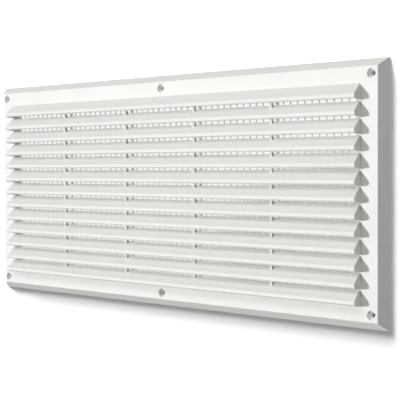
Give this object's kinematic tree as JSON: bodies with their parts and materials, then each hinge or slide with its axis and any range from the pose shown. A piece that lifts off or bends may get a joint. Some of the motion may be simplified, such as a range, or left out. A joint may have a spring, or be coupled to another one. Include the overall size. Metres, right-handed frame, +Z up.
{
  "type": "ventilation grille",
  "caption": "Rectangular surface-mounted ventilation grille with a bevelled border, fixed hooded louvres, countersunk screw holes and a rear guard mesh.",
  "frame": {"origin": "centre of the back of the border, in the plane of the wall, at the centre of the corner screw holes", "axes": "+X along the width to the viewer's right seen from the front, +Z up, front towards -Y, wall on the +Y side"},
  "size_m": [0.45, 0.0163, 0.2],
  "materials": {
    "white_plastic": "satin",
    "guard_plastic": "satin"
  },
  "bodies": {
    "root": {"frame": "white_plastic", "louvre_01": "white_plastic", "louvre_02": "white_plastic", "louvre_03": "white_plastic", "louvre_04": "white_plastic", "louvre_05": "white_plastic", "louvre_06": "white_plastic", "louvre_07": "white_plastic", "louvre_08": "white_plastic", "louvre_09": "white_plastic", "louvre_10": "white_plastic", "louvre_11": "white_plastic", "louvre_12": "white_plastic", "louvre_13": "white_plastic", "mullion_1": "white_plastic", "mullion_2": "white_plastic", "mullion_3": "white_plastic", "mullion_4": "white_plastic", "guard_frame": "guard_plastic", "mesh_panel_1": "guard_plastic", "mesh_panel_2": "guard_plastic", "mesh_panel_3": "guard_plastic", "mesh_panel_4": "guard_plastic", "mesh_panel_5": "guard_plastic"}
  },
  "joints": []
}
